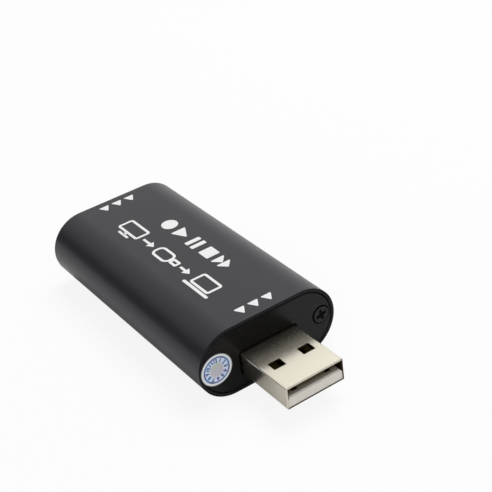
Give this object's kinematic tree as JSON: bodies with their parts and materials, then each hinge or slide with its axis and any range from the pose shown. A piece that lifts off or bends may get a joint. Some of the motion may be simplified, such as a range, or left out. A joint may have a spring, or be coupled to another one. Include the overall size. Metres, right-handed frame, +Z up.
{
  "type": "video capture box",
  "caption": "Stick-shaped video capture adapter: flat round-sided metal sleeve, a computer plug at one end and a video socket with sprung fingers at the other.",
  "frame": {"origin": "middle of the whole part's footprint, on the surface the sleeve lies on", "axes": "+X along the length towards the plug's tip, +Z up from the base to the printed face, +Y to the right as seen when facing the plug"},
  "size_m": [0.0666, 0.029, 0.0138],
  "materials": {
    "anodised_black": "fine satin, black anodised",
    "plate_black": "smooth black, low sheen",
    "screw_black": "black finish, worn at the recess",
    "seal_paper": "printed paper",
    "board_green": "solder mask, semi-gloss",
    "chip_black": "moulded",
    "tinned_lead": "tinned",
    "crystal_metal": "drawn can",
    "ferrite_grey": "sintered",
    "ceramic_tan": "fired ceramic",
    "tantalum_yellow": "moulded",
    "plug_nickel": "bright nickel plate",
    "plug_white": "moulded, off-white",
    "contact_gold": "gold flash",
    "socket_nickel": "bright nickel plate",
    "socket_black": "moulded"
  },
  "bodies": {
    "housing": {"case_sleeve": "anodised_black", "output_end_plate": "plate_black", "input_end_plate": "plate_black", "output_screw_left": "screw_black", "output_screw_right": "screw_black", "input_screw_left": "screw_black", "input_screw_right": "screw_black", "seal_sticker": "seal_paper", "circuit_board": "board_green", "capture_chip": "chip_black", "memory_chip": "chip_black", "voltage_regulator": "chip_black", "crystal_base": "chip_black", "chip_resistors": "chip_black", "surge_arrays": "chip_black", "memory_chip_leads": "tinned_lead", "regulator_leads": "tinned_lead", "crystal_can": "crystal_metal", "power_inductor": "ferrite_grey", "ceramic_capacitors": "ceramic_tan", "bulk_capacitor": "tantalum_yellow", "plug_shell": "plug_nickel", "plug_insulator": "plug_white", "plug_contact_power": "contact_gold", "plug_contact_data_minus": "contact_gold", "plug_contact_data_plus": "contact_gold", "plug_contact_ground": "contact_gold", "socket_upper_contacts": "contact_gold", "socket_lower_contacts": "contact_gold", "socket_shell": "socket_nickel", "socket_insulator": "socket_black"},
    "upper_left_finger": {"spring_finger_upper_left": "socket_nickel"},
    "upper_right_finger": {"spring_finger_upper_right": "socket_nickel"},
    "lower_left_finger": {"spring_finger_lower_left": "socket_nickel"},
    "lower_right_finger": {"spring_finger_lower_right": "socket_nickel"}
  },
  "joints": [
    {"name": "upper_left_finger_flex", "type": "hinge", "parent": "housing", "child": "upper_left_finger", "pos_m": [-0.03165, -0.003, 0.0085], "axis": [0, -1, 0], "range_deg": [0, 6], "stiffness_Nm_per_rad": 0.1},
    {"name": "upper_right_finger_flex", "type": "hinge", "parent": "housing", "child": "upper_right_finger", "pos_m": [-0.03165, 0.003, 0.0085], "axis": [0, -1, 0], "range_deg": [0, 6], "stiffness_Nm_per_rad": 0.1},
    {"name": "lower_left_finger_flex", "type": "hinge", "parent": "housing", "child": "lower_left_finger", "pos_m": [-0.03165, -0.003, 0.00365], "axis": [0, 1, 0], "range_deg": [0, 6], "stiffness_Nm_per_rad": 0.1},
    {"name": "lower_right_finger_flex", "type": "hinge", "parent": "housing", "child": "lower_right_finger", "pos_m": [-0.03165, 0.003, 0.00365], "axis": [0, 1, 0], "range_deg": [0, 6], "stiffness_Nm_per_rad": 0.1}
  ]
}
